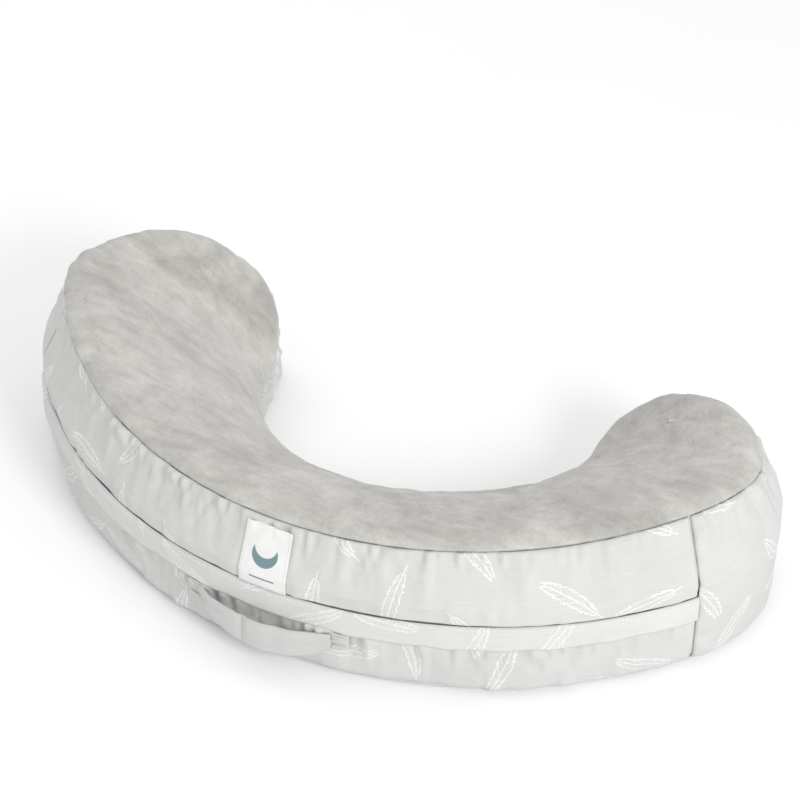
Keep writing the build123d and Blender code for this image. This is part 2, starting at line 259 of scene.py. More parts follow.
def shell(name, points, faces, thick, lift=0, uv=None):
    """A closed piece: the surface, lifted along its normals, and its back, thick behind it."""
    way = normals(points, faces)
    front = points + way * np.reshape(lift, (-1, 1))
    back = points - way * thick
    count = len(points)
    edges = border_edges(faces)
    rim = np.stack([edges[:, 1], edges[:, 0], edges[:, 0] + count, edges[:, 1] + count], -1)
    both = np.concatenate([faces, faces[:, ::-1] + count, rim])
    uv2 = None if uv is None else np.concatenate([uv, uv])
    return make_object(name, np.concatenate([front, back]), both, uv2)


def surface_area(points, faces):
    a, b, c, d = (points[faces[:, k]] for k in range(4))
    return float(np.linalg.norm(np.cross(c - a, d - b), axis=1).sum() / 2)


# ---- the whole skin: foot, wall, rim and top, as rows of one closed net ---------------------
def rim_rows(count, low_z):
    """From a height on the wall, over the rounded rim, onto the top."""
    drop = 0.86 * (EDGE_Z - low_z)
    wing = smooth((np.abs(BASE[:, 0]) - 0.12) / 0.06)
    reach = np.where(IS_OUTER, 0.013, 0.020 - 0.007 * wing)
    start = wall_row(EDGE_Z - drop)
    edge = wall_row(EDGE_Z)
    inset = wall_inset(EDGE_Z) + reach
    x, y = at_inset(inset)
    end = np.stack([x, y, top_height(x, y)], -1)
    rows = []
    for t in np.linspace(0, 1, count):
        rows.append((1 - t) ** 2 * start + 2 * t * (1 - t) * edge + t * t * end)
    return rows, inset


def cap(ring, height):
    """Straight rungs between a ring's outer and inner halves."""
    one = ring[: CHAIN + 1]
    two = np.concatenate([ring[:1], ring[COLUMNS - 1 : CHAIN - 1 : -1]])
    rows = []
    for t in np.linspace(0, 1, RUNGS + 1)[1:-1]:
        row = one[1:-1] * (1 - t) + two[1:-1] * t
        row[:, 2] = height(row[:, 0], row[:, 1])
        rows.append(row)
    return rows


def cap_faces(first, ring_first):
    """Faces of the rungs, joined to the ring around them."""
    inside = CHAIN - 1
    top = ring_first + np.arange(CHAIN + 1)
    low = ring_first + np.concatenate([[0], np.arange(COLUMNS - 1, CHAIN - 1, -1)])
    lines = [top]
    for k in range(RUNGS - 1):
        line = first + k * inside + np.arange(inside)
        lines.append(np.concatenate([[top[0]], line, [top[-1]]]))
    lines.append(low)
    faces = []
    for a, b in zip(lines[:-1], lines[1:]):
        faces.append(np.stack([a[:-1], a[1:], b[1:], b[:-1]], -1))
    return np.concatenate(faces)


def domed(rows, inset, height, steps):
    """Adds rings towards the middle and the rungs, and gives points, ring faces and rung faces."""
    for t in np.linspace(0, 1, steps + 1)[1:]:
        x, y = at_inset(inset + (CORE_INSET - inset) * t)
        rows.append(np.stack([x, y, height(x, y)], -1))
    faces = grid_faces(len(rows), COLUMNS, wrap=True)
    ring_first = (len(rows) - 1) * COLUMNS
    points = np.concatenate(rows + cap(rows[-1], height))
    fill = cap_faces(len(rows) * COLUMNS, ring_first)
    return points, faces, fill


def profile_length(rows):
    """Distance along the profile from the first row, per point of a row net."""
    steps = [np.linalg.norm(b - a, axis=1) for a, b in zip(rows[:-1], rows[1:])]
    return np.concatenate([[np.zeros(len(rows[0]))], np.cumsum(steps, axis=0)])


def clean(faces):
    """Drops the faces that have shrunk to a point at the wings' ends."""
    keep = [len(set(f)) == 4 for f in faces.tolist()]
    return faces[np.array(keep)]


# Plush top: from its seam, over the rim, across the top.
first_rows = [wall_row(SEAM_Z + 0.0002 + (EDGE_Z - SEAM_Z) * 0.14 * t) for t in np.linspace(0, 0.9, 3)]
over, top_inset = rim_rows(14, SEAM_Z)
top_rows = first_rows + over
edge_distance = profile_length(top_rows)
top_points, top_ring_faces, top_fill = domed(top_rows, top_inset, top_height, 12)
near_edge = np.full(len(top_points), 0.1)
near_edge[: edge_distance.size] = edge_distance.ravel()
top_faces = np.concatenate([top_ring_faces, top_fill])
bumps = 0.0020 * noise(top_points, 0.060, 1) + 0.0009 * noise(top_points, 0.024, 2)
stretch = top_points * np.array([1, 1, 0.4])
bumps += 0.0007 * noise(stretch, 0.011, 3) + 0.0004 * noise(top_points, 0.0052, 4)
beside = np.exp(-near_edge / 0.020) * noise(top_points * np.array([1, 1, 0]), 0.016, 6)
bumps += 0.0020 * beside
top_lift = bumps * smooth((near_edge + 0.002) / 0.008) + 0.0010 - 0.0026 * np.exp(-near_edge / 0.0011)
top_panel = shell("plush_top", top_points, clean(top_faces), COVER_THICK, top_lift)

# Printed wall: front panel, lower band and wing panel, from the foot to the plush.


def wall_net(low, high, chosen, rows, edges, seed):
    """A part of the wall between two heights, over the chosen columns, which are in a run."""
    t = np.linspace(0, 1, rows)
    line = [wall_row(low + (high - low) * k)[chosen] for k in t]
    points = np.concatenate(line)
    columns = len(chosen)
    rise = profile_length(line)
    s = np.tile(RUN[chosen], rows)
    height = rise.ravel()
    total = np.tile(rise[-1], rows)
    uv = np.stack([s, points[:, 2]], -1)
    low_gap, high_gap = height, total - height
    side = np.minimum(*(np.tile(d, rows) for d in edges))
    where = np.stack([s, 0.35 * height, 0 * s], -1)
    gathers = 1.1 * np.exp(-high_gap / 0.013) * noise(where, 0.0046, seed)
    gathers += 0.9 * np.exp(-high_gap / 0.030) * noise(where, 0.0105, seed + 7)
    strong = 0.45 + 0.55 * smooth(noise(np.stack([s, 0 * s, 0 * s], -1), 0.11, seed + 1) + 0.6)
    lift = 0.0046 * gathers * strong
    lift += 0.0017 * np.exp(-low_gap / 0.014) * noise(where, 0.007, seed + 2)
    lift += 0.0024 * np.exp(-side / 0.020) * noise(points * np.array([0.4, 0.4, 1.0]), 0.009, seed + 3)
    lift += 0.0018 * noise(points, 0.055, seed + 4) + 0.0009 * noise(points, 0.019, seed + 5)
    border = np.minimum(np.minimum(low_gap, high_gap), side)
    under_label = smooth((0.026 - np.abs(points[:, 0])) / 0.005) * smooth((points[:, 2] - 0.064) / 0.006)
    lift = lift + (np.minimum(lift, 0.0006) - lift) * under_label * (points[:, 1] < 0)
    soft_border = 0.25 + 0.75 * smooth((border + 0.001) / 0.005)
    lift = np.maximum(lift, -0.0016) * soft_border - 0.0011 * np.exp(-border / 0.0007)
    return points, grid_faces(rows, columns), lift, uv


in_front = IS_OUTER & (np.abs(ANGLE) < SEAM_ANGLE)
front_columns = np.flatnonzero(in_front)
left_end, right_end = front_columns[0], front_columns[-1]
wing_columns = np.concatenate([np.arange(right_end + 1, COLUMNS), np.arange(0, left_end)])
front_s = RUN[front_columns]
front_edges = (front_s - front_s[0], front_s[-1] - front_s)
wing_s = np.concatenate([[0], np.cumsum(np.linalg.norm(np.diff(BASE[wing_columns], axis=0), axis=1))])
wing_edges = (wing_s, wing_s[-1] - wing_s)

points, faces, lift, uv = wall_net(OPEN_HIGH, SEAM_Z - 0.0002, front_columns, 44, front_edges, 20)
front_panel = shell("front_print", points, faces, COVER_THICK, lift, uv)
points, faces, lift, uv = wall_net(0.00425, OPEN_LOW, front_columns, 34, front_edges, 30)
lower_band = shell("lower_print", points, faces, COVER_THICK, lift, uv)
points, faces, lift, uv = wall_net(0.00425, SEAM_Z - 0.0002, wing_columns, 60, wing_edges, 40)
uv[:, 0] = np.tile(wing_s, 60)
wing_panel = shell("wing_print", points, faces, COVER_THICK, lift, uv)

# Plain bottom: the underside and the lowest part of the foot.
foot = [wall_row(z) for z in (0.0040, 0.0030, 0.0021, 0.0013, 0.0007, 0.0003, 0.0)]


def flat(x, y):
    return 0 * x


bottom_points, ring_faces, fill = domed(foot, np.full(COLUMNS, FOOT_ROUND), flat, 10)
bottom_faces = clean(np.concatenate([ring_faces, fill]))
bottom_panel = shell("plain_bottom", bottom_points, bottom_faces[:, ::-1], 0.0015, -0.0001)


# ---- core and liner, with the zipper's groove ----------------------------------------------
def core_net(inset, groove_low, groove_high, groove_depth):
    heights = [0.0, 0.002, 0.005, 0.009, 0.013, 0.022, 0.032, groove_low - 0.0004]
    heights += [groove_low, 0.052, 0.059, 0.066, groove_high, groove_high + 0.0004]
    rows = []
    for z in heights:
        rows.append(wall_row(np.minimum(z, SEAM_Z * 0.98)))
    for t in (0.25, 0.5, 0.75, 1.0):
        low = np.minimum(heights[-1], SEAM_Z * 0.98)
        rows.append(wall_row(low + (SEAM_Z - low) * t))
    over, ring_inset = rim_rows(8, SEAM_Z)
    rows += over
    points, faces, fill = domed(rows, ring_inset, top_height, 6)
    below = []
    for t in np.linspace(0, 1, 5)[1:]:
        x, y = at_inset(FOOT_ROUND + (CORE_INSET - FOOT_ROUND) * t)
        below.append(np.stack([x, y, 0 * x], -1))
    under_points = np.concatenate(below + cap(below[-1], flat))
    first = len(points)
    ring_to = [np.arange(COLUMNS)] + [first + k * COLUMNS + np.arange(COLUMNS) for k in range(4)]
    under = []
    for a, b in zip(ring_to[:-1], ring_to[1:]):
        under.append(np.stack([a, b, np.roll(b, -1), np.roll(a, -1)], -1))
    under.append(cap_faces(first + 4 * COLUMNS, first + 3 * COLUMNS)[:, ::-1])
    faces = clean(np.concatenate([faces, fill] + under))
    points = np.concatenate([points, under_points])
    points = points - normals(points, faces) * inset
    in_groove = np.tile(IS_OUTER & (np.abs(ANGLE) < SEAM_ANGLE + 0.02), 4)
    rows_in = slice(8 * COLUMNS, 12 * COLUMNS)
    way = np.tile(np.concatenate([INWARD, np.zeros((COLUMNS, 1))], 1), (4, 1))
    points[rows_in] += way * (in_groove * (groove_depth - inset))[:, None]
    return points, faces


liner_points, liner_faces = core_net(0.0027, 0.0445, 0.0735, 0.0112)
foam_points, foam_faces = core_net(0.0042, 0.0430, 0.0750, 0.0127)
foam_core = make_object("foam", foam_points, foam_faces)
inside = np.concatenate([liner_points, liner_points - normals(liner_points, liner_faces) * 0.0009])
double = np.concatenate([liner_faces, liner_faces[:, ::-1] + len(liner_points)])
core_liner = make_object("liner_bag", inside, double)


# ---- pieces on the front wall ---------------------------------------------------------------
def on_wall(angle, z, out):
    """A point in front of the wall, at an angle from the front."""
    r = OUTER_R - wall_inset(z) + out
    return np.stack([r * np.sin(angle), ARC_Y - r * np.cos(angle), z + 0 * r], -1)


def strip(name, place, columns, rows, thick):
    """A sheet from place(u, v), for u along and v up, both from 0 to 1, as a closed piece."""
    v, u = np.meshgrid(np.linspace(0, 1, rows), np.linspace(0, 1, columns), indexing="ij")
    points = place(u.ravel(), v.ravel())
    faces = grid_faces(rows, columns)
    grid = points.reshape(rows, columns, 3)
    along_u = np.concatenate([[0], np.cumsum(np.linalg.norm(np.diff(grid[rows // 2], axis=0), axis=1))])
    along_v = np.concatenate([[0], np.cumsum(np.linalg.norm(np.diff(grid[:, columns // 2], axis=0), axis=1))])
    uv = np.stack([np.tile(along_u, rows), np.repeat(along_v, columns)], -1)
    made = shell(name, points, faces, thick, uv=uv)
    return made, surface_area(points, faces), (along_u[-1], along_v[-1])


def edge_roll(u, v, length, height, radius=0.0006):
    """Pulls the borders of a strip back a little, so that its edges look folded."""
    gap = np.minimum(np.minimum(u, 1 - u) * length, np.minimum(v, 1 - v) * height)
    return -radius * np.exp(-gap / 0.0006)


def flap_place(u, v):
    angle = (2 * u - 1) * (SEAM_ANGLE - 0.0012)
    z = 0.0480 + 0.0215 * v + 0.0004 * np.sin(angle * 60) * (1 - v)
    s = angle * OUTER_R
    line = np.stack([s, 0 * s, 0 * s], -1)
    wave = noise(line, 0.034, 61) + 0.5 * noise(line, 0.012, 62)
    out = 0.0027 + 0.0012 * wave * (1 - v) - 0.0022 * smooth((v - 0.75) / 0.25) ** 2
    bulge = np.exp(-((angle + 0.79) / 0.05) ** 2)
    out = out + 0.0022 * bulge * np.sin(math.pi * np.clip(v, 0, 1)) ** 0.5
    ends = np.minimum(u, 1 - u) * 2 * SEAM_ANGLE * OUTER_R
    out = out - 0.0007 * np.exp(-ends / 0.004)
    out = out + edge_roll(u, v, 0.64, 0.0215)
    return on_wall(angle, z, out)


zipper_flap, flap_area, flap_size = strip("flap_fold", flap_place, 760, 16, 0.0013)


def tape_place(way):
    def place(u, v):
        angle = (2 * u - 1) * (SEAM_ANGLE - 0.002)
        z = 0.059 + way * 0.0016 + (way - 1) / 2 * 0.0115 + 0.0115 * v
        s = angle * OUTER_R
        return on_wall(angle, z, -0.00665 + 0.0002 * noise(np.stack([s, z, 0 * s], -1), 0.02, 63) - 0.0002)
    return place


tape_upper, tape_area, tape_size = strip("tape_upper", tape_place(1), 500, 8, 0.0005)
tape_lower, _, _ = strip("tape_lower", tape_place(-1), 500, 8, 0.0005)


def capsules(name, starts, ends, radius):
    """Short rounded threads or teeth between pairs of points."""
    across_n, long_n = 8, 7
    t = np.linspace(0, math.pi, long_n)
    rings = []
    axis = ends - starts
    length = np.linalg.norm(axis, axis=1, keepdims=True)
    axis = axis / length
    side = np.cross(axis, np.array([0.31, 0.52, 0.79]))
    side /= np.linalg.norm(side, axis=1, keepdims=True)
    other = np.cross(axis, side)
    half = length / 2
    middle = (starts + ends) / 2
    for k in t:
        reach = -np.cos(k)
        shift = np.sign(reach) * np.maximum(half - radius, 0) + reach * radius
        for a in np.arange(across_n) * 2 * math.pi / across_n:
            around = math.cos(a) * side + math.sin(a) * other
            rings.append(middle + axis * shift + around * radius * max(math.sin(k), 0.08))
    points = np.stack(rings, 1)
    one = grid_faces(long_n, across_n, wrap=True).tolist()
    one.append(list(range(across_n))[::-1])
    one.append(list(range((long_n - 1) * across_n, long_n * across_n)))
    count = long_n * across_n
    faces = [[i + k * count for i in f] for k in range(len(starts)) for f in one]
    return make_object(name, points.reshape(-1, 3), faces)


STOP_ANGLE = math.radians(48.0)
teeth = np.linspace(-STOP_ANGLE + 0.003, STOP_ANGLE - 0.003, 290)
coil_out = -0.007 + 0.00035 + 0.00025 + 0.00075
coils = {}
for way, name in ((1, "coil_upper"), (-1, "coil_lower")):
    shift = 0.0010 if way > 0 else -0.0010
    near = on_wall(teeth + shift / OUTER_R, 0.059 + way * 0.00052 + 0 * teeth, coil_out)
    far = on_wall(teeth, 0.059 + way * 0.00218 + 0 * teeth, coil_out)
    coils[name] = capsules(name, near, far, 0.00062)


# ---- strap ----------------------------------------------------------------------------------
HANDLE_HALF = 0.052
strap_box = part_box("carry_handle")
STRAP_TOP, STRAP_LOW = strap_box[1].z, strap_box[0].z
strap_end_y = ARC_Y - math.sqrt(OUTER_R**2 - HANDLE_HALF**2) - 0.0025
bow = strap_end_y - strap_box[0].y - 0.0022


def strap_place(first, last):
    def place(u, v):
        x = first + (last - first) * u
        near = np.abs(x) / (HANDLE_HALF + 0.004)
        shape = 1 - np.clip(near, 0, 1) ** 2.2
        skew = 1 - 0.10 * (x - 0.01) / HANDLE_HALF
        y = strap_end_y - 0.0012 - bow * shape * np.clip(skew, 0.85, 1.0)
        low = STRAP_LOW + 0.012 * np.clip(near, 0, 1) ** 3
        high = STRAP_TOP - 0.0005
        z = low + (high - low) * v
        s = np.stack([x, 0.4 * z, 0 * x], -1)
        fold = 0.0012 * np.sin(2 * math.pi * (v * 1.6 + 0.15 * np.sin(60 * x))) * near**2
        crease = -0.0022 * np.exp(-((x + 0.012) / 0.0035) ** 2) * (0.4 + 0.6 * v)
        y = y - fold - crease - 0.0008 * noise(s, 0.012, 71) - 0.0010 * np.sin(math.pi * v)
        z = z - 0.0016 * np.exp(-((x + 0.012) / 0.006) ** 2) * v
        return np.stack([x, y, z], -1)
    return place


SPLIT = -0.012
strap_left, strap_left_area, strap_left_size = strip("strap_left", strap_place(-0.056, SPLIT), 50, 26, 0.0022)
strap_right, strap_right_area, strap_right_size = strip("strap_right", strap_place(SPLIT, 0.056), 70, 26, 0.0022)

# Gathered ends of the strap, sewn down to the wall.
tab_mid = (HANDLE_HALF + 0.001 + 0.0075) / OUTER_R


def tab_place(way):
    def place(u, v):
        angle = way * tab_mid + (u - 0.5) * 0.0155 / OUTER_R
        z = STRAP_TOP - 0.015 + 0.015 * v
        pleat = np.sin(2 * math.pi * (2.5 * v + 0.1 * np.sin(9 * u)))
        out = 0.0026 + 0.0007 * pleat - 0.0010 * smooth(1 - np.minimum(u, 1 - u) / 0.12)
        out = out + edge_roll(u, v, 0.0155, 0.015, 0.0009)
        return on_wall(angle, z, out)
    return place


tab_left, tab_area, tab_size = strip("tab_left", tab_place(-1), 26, 30, 0.0022)
tab_right, _, _ = strip("tab_right", tab_place(1), 26, 30, 0.0022)

bar_starts, bar_ends = [], []
for way in (-1, 1):
    for z in (STRAP_TOP - 0.012, STRAP_TOP - 0.003):
        s = np.linspace(-0.005, 0.005, 19)
        zig = z + 0.0008 * np.where(np.arange(19) % 2, 1, -1)
        line = on_wall(way * tab_mid + s / OUTER_R, zig, 0.0037)
        bar_starts.append(line[:-1])
        bar_ends.append(line[1:])
bartacks = capsules("bartacks", np.concatenate(bar_starts), np.concatenate(bar_ends), 0.00026)


# ---- labels ---------------------------------------------------------------------------------
LABEL_HALF = 0.0195 / OUTER_R


def label_place(u, v):
    angle = (2 * u - 1) * LABEL_HALF
    z = 0.0705 + 0.0465 * v
    out = 0.0018 + 0.0006 * np.sin(math.pi * u) * np.sin(math.pi * v) - 0.0003 * np.cos(7 * u + 3 * v) * v
    pucker = noise(np.stack([u * 0.039 + 0.4, 0.3 * z, 0 * u], -1), 0.0042, 81)
    out = out + 0.0007 * pucker * smooth((v - 0.60) / 0.40)
    return on_wall(angle, z, out)


label, label_area, label_size = strip("front_label_cloth", label_place, 60, 60, 0.0005)
marks = []
for side in (0.045, 0.955):
    t = np.linspace(0.03, 0.97, 26)
    a = label_place(np.full(26, side), t)
    b = label_place(np.full(26, side), t + 0.020)
    out = np.stack([np.sin((2 * side - 1) * LABEL_HALF) + 0 * t, -1 + 0 * t, 0 * t], -1) * 0.0002
    marks.append((a + out, b + out))
t = np.linspace(0.03, 0.96, 20)
low = np.full(20, 0.035)
forward = np.array([0, -0.0002, 0])
marks.append((label_place(t, low) + forward, label_place(t + 0.028, low) + forward))
mark_starts, mark_ends = (np.concatenate([m[k] for m in marks]) for k in (0, 1))
label_thread = capsules("label_stitches", mark_starts, mark_ends, 0.00022)


def care_place(u, v):
    angle = (1 - 2 * u) * 0.013 / INNER_R
    z = 0.014 + 0.032 * v
    r = INNER_R - 0.0016 - 0.0005 * np.sin(math.pi * u) * (1 - v) - 0.0004 * np.sin(math.pi * v)
    return np.stack([r * np.sin(angle), INNER_Y - r * np.cos(angle), z], -1)


care, care_area, care_size = strip("care_label_cloth", care_place, 24, 28, 0.0004)


# ---- materials --------------------------------------------------------------------------------
def node(tree, kind, inputs=None, **settings):
    made = tree.nodes.new("ShaderNode" + kind)
    for key, value in settings.items():
        setattr(made, key, value)
    for key, value in (inputs or {}).items():
        if isinstance(value, bpy.types.NodeSocket):
            tree.links.new(value, made.inputs[key])
        else:
            made.inputs[key].default_value = value
    return made


def calc(tree, operation, a, b=0.0, c=0.0):
    return node(tree, "Math", {0: a, 1: b, 2: c}, operation=operation).outputs[0]


def speckle(tree, where, scale, detail=3.0, rough=0.55, distortion=0.0):
    made = node(tree, "TexNoise", {"Vector": where, "Scale": scale, "Detail": detail, "Roughness": rough})
    made.inputs["Distortion"].default_value = distortion
    return made.outputs["Fac"]


def ramp(tree, value, low, high, dark, light):
    made = node(tree, "ValToRGB", {"Fac": value})
    stops = made.color_ramp.elements
    stops[0].position, stops[1].position = low, high
    stops[0].color, stops[1].color = (*dark, 1), (*light, 1)
    return made.outputs["Color"]


def blank(name):
    made = bpy.data.materials.new(name)
    made.use_nodes = True
    tree = made.node_tree
    tree.nodes.clear()
    shader = node(tree, "BsdfPrincipled")
    node(tree, "OutputMaterial", {"Surface": shader.outputs[0]})
    return made, tree, shader


def dress(tree, shader, colour, rough, bump, depth, sheen=0.0):
    tree.links.new(colour, shader.inputs["Base Color"])
    if isinstance(rough, bpy.types.NodeSocket):
        tree.links.new(rough, shader.inputs["Roughness"])
    else:
        shader.inputs["Roughness"].default_value = rough
    made = node(tree, "Bump", {"Height": bump, "Strength": 1.0, "Distance": depth})
    tree.links.new(made.outputs[0], shader.inputs["Normal"])
    shader.inputs["Sheen Weight"].default_value = sheen
    shader.inputs["Sheen Roughness"].default_value = 0.6
    shader.inputs["Specular IOR Level"].default_value = 0.25


def mix(tree, factor, a, b, way="MIX"):
    made = node(tree, "Mix", {0: factor, 6: a, 7: b}, data_type="RGBA", blend_type=way)
    return made.outputs[2]


def weave(tree, where, pitch):
    """Height of a plain weave with this thread spacing, from 0 to 1."""
    parts = node(tree, "SeparateXYZ", {0: where})
    waves = [calc(tree, "SINE", calc(tree, "MULTIPLY", parts.outputs[k], 2 * math.pi / pitch)) for k in (0, 1)]
    return calc(tree, "MULTIPLY_ADD", calc(tree, "MULTIPLY", waves[0], waves[1]), 0.5, 0.5)


def plush():
    made, tree, shader = blank("plush_nap")
    where = node(tree, "TexCoord").outputs["Object"]
    patches = speckle(tree, where, 11.0, 4.0, 0.6, 1.1)
    streaks = speckle(tree, node(tree, "Mapping", {0: where, 3: (38, 90, 38)}).outputs[0], 1.0, 3.0, 0.6, 0.6)
    fibres = speckle(tree, where, 420.0, 3.0, 0.7)
    tufts = speckle(tree, where, 130.0, 2.0, 0.6)
    value = calc(tree, "MULTIPLY_ADD", patches, 0.50, calc(tree, "MULTIPLY", streaks, 0.30))
    value = calc(tree, "ADD", value, calc(tree, "MULTIPLY", calc(tree, "ADD", fibres, tufts), 0.10))
    colour = ramp(tree, value, 0.36, 0.64, (0.35, 0.342, 0.32), (0.61, 0.598, 0.565))
    height = calc(tree, "MULTIPLY_ADD", fibres, 0.6, calc(tree, "MULTIPLY", tufts, 0.9))
    dress(tree, shader, colour, 0.95, height, 0.0016, 0.30)
    return made


def feathers(tree, where):
    """White outline feathers, scattered at random angles: 1 on a line, 0 elsewhere."""
    cells = 1 / 0.060
    shaken = node(tree, "VectorMath", {0: where, 1: (cells, cells, 0)}, operation="MULTIPLY").outputs[0]
    spot = node(tree, "TexVoronoi", {"Vector": shaken, "Scale": 1.0, "Randomness": 0.62},
                voronoi_dimensions="2D")
    offset = node(tree, "VectorMath", {0: shaken, 1: spot.outputs["Position"]}, operation="SUBTRACT").outputs[0]
    chance = node(tree, "SeparateColor", {0: spot.outputs["Color"]})
    turn = calc(tree, "MULTIPLY", chance.outputs[0], 6.28)
    turned = node(tree, "VectorRotate", {"Vector": offset, "Angle": turn}, rotation_type="Z_AXIS")
    turned = turned.outputs[0]
    local = node(tree, "SeparateXYZ", {0: turned})
    lengthwise = local.outputs[0]
    curve = calc(tree, "MULTIPLY", calc(tree, "SUBTRACT", chance.outputs[1], 0.5), 0.9)
    bent = calc(tree, "MULTIPLY", calc(tree, "MULTIPLY", lengthwise, lengthwise), curve)
    sideways = calc(tree, "ABSOLUTE", calc(tree, "SUBTRACT", local.outputs[1], bent))
    share = calc(tree, "DIVIDE", calc(tree, "ADD", lengthwise, 0.36), 0.86)
    share = calc(tree, "MINIMUM", calc(tree, "MAXIMUM", share, 0.0), 1.0)
    body = calc(tree, "SINE", calc(tree, "MULTIPLY", share, math.pi))
    width = calc(tree, "MULTIPLY", calc(tree, "POWER", body, 0.6), 0.085)
    notch = speckle(tree, turned, 16.0, 2.0, 0.7)
    width = calc(tree, "MULTIPLY", width, calc(tree, "MULTIPLY_ADD", notch, 1.5, 0.25))
    inside = calc(tree, "LESS_THAN", sideways, width)
    outline = calc(tree, "LESS_THAN", calc(tree, "ABSOLUTE", calc(tree, "SUBTRACT", sideways, width)), 0.0105)
    within = calc(tree, "LESS_THAN", calc(tree, "ABSOLUTE", lengthwise), 0.44)
    shaft = calc(tree, "MULTIPLY", calc(tree, "LESS_THAN", sideways, 0.0085), within)
    slant = calc(tree, "SUBTRACT", lengthwise, calc(tree, "MULTIPLY", sideways, 1.9))
    slant = calc(tree, "ADD", slant, calc(tree, "MULTIPLY", notch, 0.12))
    barb = calc(tree, "LESS_THAN", calc(tree, "FRACT", calc(tree, "MULTIPLY", slant, 9.0)), 0.13)
    barbs = calc(tree, "MULTIPLY", barb, inside)
    outline = calc(tree, "MULTIPLY", outline, calc(tree, "GREATER_THAN", width, 0.02))
    lines = calc(tree, "MAXIMUM", calc(tree, "MAXIMUM", outline, shaft), barbs)
    return lines


def printed(name, feather=True, painted_light_scale=1.0, stitch_height=None):
    made, tree, shader = blank(name)
    where = node(tree, "TexCoord").outputs["UV"]
    threads = weave(tree, where, 0.00055)
    soft = speckle(tree, where, 9.0, 4.0, 0.6)
    slubs = speckle(tree, node(tree, "Mapping", {0: where, 3: (60, 900, 1)}).outputs[0], 1.0, 2.0)
    tone = calc(tree, "MULTIPLY_ADD", soft, 0.6, calc(tree, "MULTIPLY", slubs, 0.4))
    # The scale here brightens or darkens the whole print: above 1 it is a painted highlight, below 1 painted
    # shade, making lit and shaded copies of one cloth.
    low, high = 0.60 * painted_light_scale, 0.68 * painted_light_scale
    colour = ramp(tree, tone, 0.35, 0.65, (low, low * 1.003, low * 0.985), (high, high * 1.003, high * 0.985))
    height = threads
    if feather:
        lines = feathers(tree, where)
        colour = mix(tree, calc(tree, "MULTIPLY", lines, 0.60), colour, (0.93, 0.93, 0.92, 1))
        height = calc(tree, "ADD", threads, calc(tree, "MULTIPLY", lines, 0.35))
    if stitch_height is not None:
        parts = node(tree, "SeparateXYZ", {0: where})
        dash = calc(tree, "LESS_THAN", calc(tree, "FRACT", calc(tree, "DIVIDE", parts.outputs[0], 0.0032)), 0.72)
        away = calc(tree, "ABSOLUTE", calc(tree, "SUBTRACT", parts.outputs[1], stitch_height))
        band = calc(tree, "LESS_THAN", away, 0.0003)
        stitch = calc(tree, "MULTIPLY", dash, band)
        colour = mix(tree, stitch, colour, (0.86, 0.86, 0.85, 1))
        height = calc(tree, "ADD", height, calc(tree, "MULTIPLY", stitch, 2.0))
    dress(tree, shader, colour, calc(tree, "MULTIPLY_ADD", threads, 0.1, 0.8), height, 0.00012, 0.12)
    return made


def woven(name, dark, light, pitch, depth, sheen=0.1, coordinate="UV"):
    made, tree, shader = blank(name)
    where = node(tree, "TexCoord").outputs[coordinate]
    threads = weave(tree, where, pitch)
    tone = calc(tree, "MULTIPLY_ADD", speckle(tree, where, 30.0, 4.0), 0.7, calc(tree, "MULTIPLY", threads, 0.3))
    dress(tree, shader, ramp(tree, tone, 0.3, 0.7, dark, light), 0.85, threads, depth, sheen)
    return made


def label_material():
    """White woven label with a plain crescent and a bar."""
    made, tree, shader = blank("label_weave")
    where = node(tree, "TexCoord").outputs["UV"]
    threads = weave(tree, where, 0.0004)
    base = ramp(tree, speckle(tree, where, 60.0), 0.3, 0.7, (0.80, 0.80, 0.79), (0.88, 0.88, 0.87))
    middle = (label_size[0] / 2, label_size[1] * 0.56, 0)
    upper = (middle[0], middle[1] + 0.0065, 0)
    reach = [node(tree, "VectorMath", {0: where, 1: spot}, operation="DISTANCE") for spot in (middle, upper)]
    big = calc(tree, "LESS_THAN", reach[0].outputs["Value"], 0.0105)
    small = calc(tree, "GREATER_THAN", reach[1].outputs["Value"], 0.0092)
    parts = node(tree, "SeparateXYZ", {0: where})
    off_x = calc(tree, "ABSOLUTE", calc(tree, "SUBTRACT", parts.outputs[0], middle[0]))
    off_y = calc(tree, "ABSOLUTE", calc(tree, "SUBTRACT", parts.outputs[1], 0.0085))
    bar_x = calc(tree, "LESS_THAN", off_x, 0.0100)
    bar_y = calc(tree, "LESS_THAN", off_y, 0.0008)
    mark = calc(tree, "MAXIMUM", calc(tree, "MULTIPLY", big, small), calc(tree, "MULTIPLY", bar_x, bar_y))
    colour = mix(tree, mark, base, (0.17, 0.27, 0.30, 1))
    dress(tree, shader, colour, 0.6, calc(tree, "ADD", threads, mark), 0.00008, 0.2)
    return made


def foam_material():
    made, tree, shader = blank("foam_cells")
    where = node(tree, "TexCoord").outputs["Object"]
    cells = node(tree, "TexVoronoi", {"Vector": where, "Scale": 700.0}).outputs["Distance"]
    tone = calc(tree, "MULTIPLY_ADD", cells, 0.5, calc(tree, "MULTIPLY", speckle(tree, where, 20.0), 0.5))
    dress(tree, shader, ramp(tree, tone, 0.2, 0.8, (0.62, 0.58, 0.46), (0.82, 0.78, 0.66)), 0.9, cells, 0.0006)
    return made


def hard(name, dark, light, metallic, rough):
    made, tree, shader = blank(name)
    where = node(tree, "TexCoord").outputs["Object"]
    tone = speckle(tree, where, 180.0, 4.0)
    wear = calc(tree, "MULTIPLY_ADD", speckle(tree, where, 900.0), 0.2, rough)
    dress(tree, shader, ramp(tree, tone, 0.3, 0.7, dark, light), wear, speckle(tree, where, 1500.0), 0.00004)
    shader.inputs["Metallic"].default_value = metallic
    shader.inputs["Specular IOR Level"].default_value = 0.5
    return made


